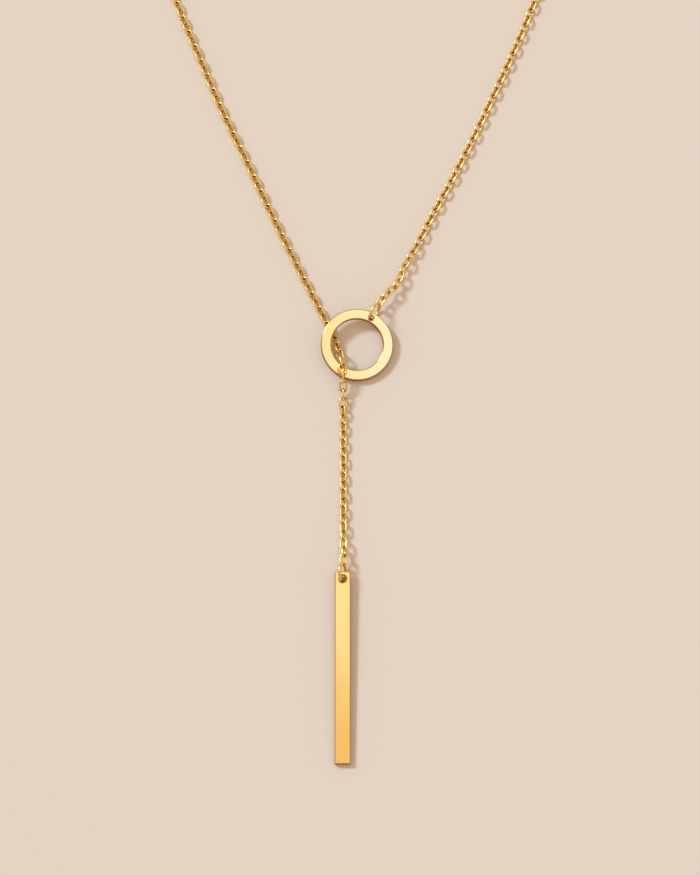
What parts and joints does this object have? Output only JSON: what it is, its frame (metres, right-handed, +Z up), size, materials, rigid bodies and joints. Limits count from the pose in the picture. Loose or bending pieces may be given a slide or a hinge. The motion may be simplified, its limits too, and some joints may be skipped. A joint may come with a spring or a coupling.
{
  "type": "y necklace",
  "caption": "Fine cable-link neck chain pulled through a flat ring and ending in a long slim bar pendant, lying flat.",
  "frame": {"origin": "on the surface that the necklace lies on, in the middle of its outline seen from above", "axes": "+X to the wearer's side with the ring's eye, +Y from the bar towards the back of the neck loop, +Z up from the surface"},
  "size_m": [0.1124, 0.2709, 0.0041],
  "materials": {
    "polished_plate": "gold-plated brass plate, satin polished",
    "polished_wire": "gold-plated brass wire, bright"
  },
  "bodies": {
    "root": {"ring": "polished_plate", "ring_jump_ring": "polished_wire", "front_chain": "polished_wire", "back_chain": "polished_wire", "bar_jump_ring": "polished_wire", "bar": "polished_plate"}
  },
  "joints": []
}
